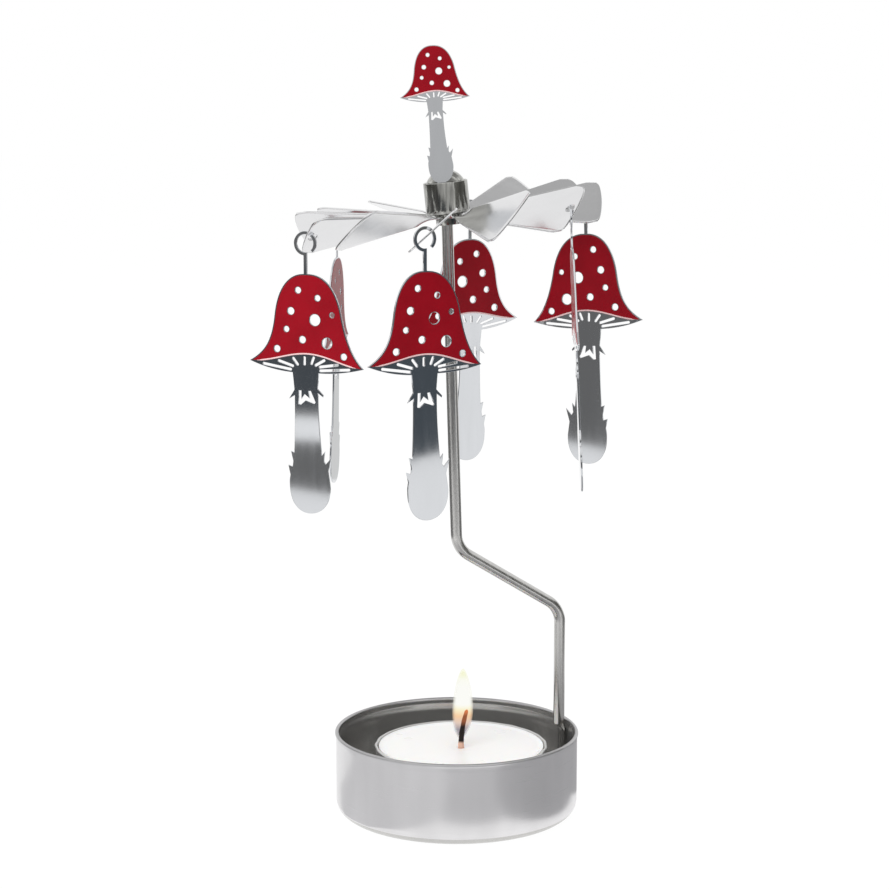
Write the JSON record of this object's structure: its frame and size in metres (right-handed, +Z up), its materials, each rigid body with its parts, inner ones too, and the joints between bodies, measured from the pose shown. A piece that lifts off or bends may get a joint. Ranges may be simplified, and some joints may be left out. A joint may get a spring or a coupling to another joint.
{
  "type": "rotary candle holder",
  "caption": "Rotary tealight holder: a steel cup, a bent rod with a needle point, and a bladed wheel that turns on it and carries hanging red toadstools.",
  "frame": {"origin": "middle of the cup's flat bottom, where it stands on the table", "axes": "+Z up, +X to the side on which the rod stands, -Y towards the viewer of the picture"},
  "size_m": [0.0856, 0.0785, 0.1696],
  "materials": {
    "brushed_steel": "satin, brushed round the cup",
    "wire_steel": "drawn wire, half bright",
    "bright_sheet": "bright rolled sheet",
    "chrome": "polished",
    "enamelled_sheet": "red enamel on the hat, bright metal elsewhere",
    "aluminium": "thin drawn foil, satin",
    "wax": "smooth white wax",
    "wick": "charred cotton"
  },
  "bodies": {
    "stand": {"cup": "brushed_steel", "rod": "wire_steel"},
    "rotor": {"wheel": "bright_sheet", "hub_sleeve": "chrome", "bearing_cap": "chrome", "top_toadstool": "enamelled_sheet"},
    "front_toadstool": {"pendant_1": "enamelled_sheet"},
    "right_front_toadstool": {"pendant_2": "enamelled_sheet"},
    "right_back_toadstool": {"pendant_3": "enamelled_sheet"},
    "back_toadstool": {"pendant_4": "enamelled_sheet"},
    "left_back_toadstool": {"pendant_5": "enamelled_sheet"},
    "left_front_toadstool": {"pendant_6": "enamelled_sheet"},
    "tealight": {"tealight_cup": "aluminium", "wax": "wax", "wick": "wick", "wick_sustainer": "aluminium"}
  },
  "joints": [
    {"name": "rotor_spin", "type": "hinge", "parent": "stand", "child": "rotor", "pos_m": [-0.00232, -0.00084, 0.1383], "axis": [0, 0, 1], "continuous": true},
    {"name": "pendant_1_swing", "type": "hinge", "parent": "rotor", "child": "front_toadstool", "pos_m": [-0.0067, -0.03298, 0.13065], "axis": [0.4924, -0.8704, 0], "range_deg": [-20, 20]},
    {"name": "pendant_2_swing", "type": "hinge", "parent": "rotor", "child": "right_front_toadstool", "pos_m": [0.02347, -0.02121, 0.13442], "axis": [0.9988, -0.0087, 0.0489], "range_deg": [-20, 20]},
    {"name": "pendant_3_swing", "type": "hinge", "parent": "rotor", "child": "right_back_toadstool", "pos_m": [0.02846, 0.01109, 0.13513], "axis": [0.4617, 0.887, 0], "range_deg": [-20, 20]},
    {"name": "pendant_4_swing", "type": "hinge", "parent": "rotor", "child": "back_toadstool", "pos_m": [0.00311, 0.03153, 0.13249], "axis": [-0.5373, 0.8434, 0], "range_deg": [-20, 20]},
    {"name": "pendant_5_swing", "type": "hinge", "parent": "rotor", "child": "left_back_toadstool", "pos_m": [-0.02683, 0.01966, 0.12927], "axis": [-0.9875, 0.1564, 0.0175], "range_deg": [-20, 20]},
    {"name": "pendant_6_swing", "type": "hinge", "parent": "rotor", "child": "left_front_toadstool", "pos_m": [-0.03212, -0.01278, 0.12828], "axis": [-0.3584, -0.9336, 0], "range_deg": [-20, 20]},
    {"name": "tealight_lift", "type": "slide", "parent": "stand", "child": "tealight", "axis": [0, 0, 1], "range_m": [0, 0.02]}
  ]
}
